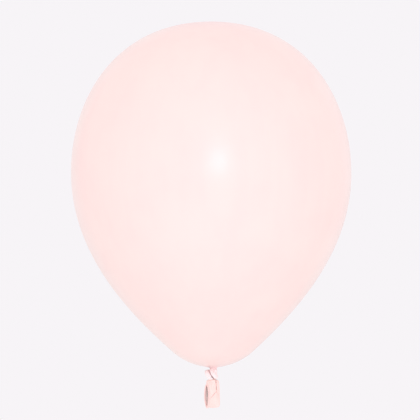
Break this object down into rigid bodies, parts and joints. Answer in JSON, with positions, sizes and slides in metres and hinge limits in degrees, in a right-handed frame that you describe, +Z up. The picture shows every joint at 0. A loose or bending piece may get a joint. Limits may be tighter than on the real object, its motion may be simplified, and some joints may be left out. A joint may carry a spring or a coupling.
{
  "type": "latex party balloon",
  "caption": "Blown-up pale peach-pink latex balloon with a teardrop bulb, a gathered neck, an overhand knot and a short open tail with a rolled lip.",
  "frame": {"origin": "on the bulb's axis, at the middle of the waist of the neck, between the bulb and the knot", "axes": "+Z up the bulb's axis to its crown; -Y is the front; the tail's open mouth faces -X and a little forward"},
  "size_m": [0.2799, 0.28, 0.3869],
  "materials": {
    "stretched_latex": "gloss",
    "gathered_latex": "satin",
    "loose_latex": "satin",
    "rolled_latex": "satin"
  },
  "bodies": {
    "envelope": {"bulb": "stretched_latex", "neck": "gathered_latex"},
    "knot": {"knot": "gathered_latex"},
    "tail_root": {"tail_collar": "gathered_latex"},
    "tail": {"tail": "loose_latex", "rolled_lip": "rolled_latex"}
  },
  "joints": [
    {"name": "knot_sway", "type": "hinge", "parent": "envelope", "child": "knot", "pos_m": [0, 0, -0.00114], "axis": [0, 1, 0], "range_deg": [-25, 25], "stiffness_Nm_per_rad": 0.0006},
    {"name": "tail_tip", "type": "hinge", "parent": "knot", "child": "tail_root", "pos_m": [0, 0, -0.01274], "axis": [1, 0, 0], "range_deg": [-45, 45], "stiffness_Nm_per_rad": 0.0003},
    {"name": "tail_swing", "type": "hinge", "parent": "tail_root", "child": "tail", "pos_m": [0, 0, -0.01274], "axis": [0, 1, 0], "range_deg": [-35, 35], "stiffness_Nm_per_rad": 0.0003}
  ]
}
